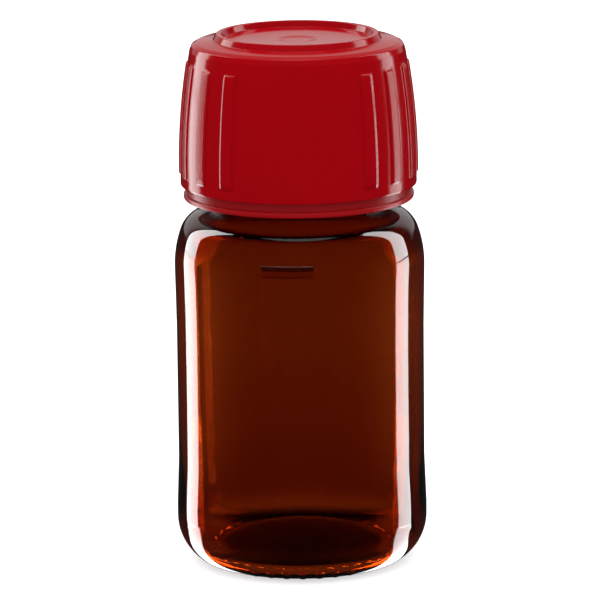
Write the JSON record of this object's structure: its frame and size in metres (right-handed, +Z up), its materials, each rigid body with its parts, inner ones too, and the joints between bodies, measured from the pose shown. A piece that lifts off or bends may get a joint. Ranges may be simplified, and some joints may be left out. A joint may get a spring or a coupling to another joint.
{
  "type": "medical vial",
  "caption": "Small amber glass medicine bottle with a wide screw neck, closed by a red child-resistant push-and-turn cap with a tamper-evident band.",
  "frame": {"origin": "on the bottle's axis, in the plane that it stands on", "axes": "+Z up along the axis and out of the mouth; -Y towards the front with the fill bar"},
  "size_m": [0.0358, 0.0358, 0.0761],
  "materials": {
    "amber_glass": "smooth moulded amber glass, clear brown, glossy",
    "red_band": "moulded red plastic, satin",
    "liner": "soft white sealing disc",
    "inner_plastic": "moulded red plastic, plain",
    "red_plastic": "moulded red plastic, glossy with finely matte side ribs"
  },
  "bodies": {
    "bottle": {"glass_bottle": "amber_glass", "tamper_band": "red_band"},
    "liner": {"seal_liner": "liner"},
    "inner_cap": {"inner_cap": "inner_plastic"},
    "outer_cap": {"outer_cap": "red_plastic"}
  },
  "joints": [
    {"name": "cap_lift", "type": "slide", "parent": "bottle", "child": "liner", "axis": [0, 0, 1], "range_m": [0, 0.0159]},
    {"name": "cap_turn", "type": "hinge", "parent": "liner", "child": "inner_cap", "pos_m": [0, 0, 0.065], "axis": [0, 0, 1], "range_deg": [0, 1800]},
    {"name": "push_down", "type": "slide", "parent": "inner_cap", "child": "outer_cap", "axis": [0, 0, -1], "range_m": [0, 0.0011], "stiffness_N_per_m": 600, "springref_m": -0.0002}
  ],
  "couplings": [
    {"joint": "cap_turn", "follows": "cap_lift", "rad_per_m": 1975.8}
  ]
}
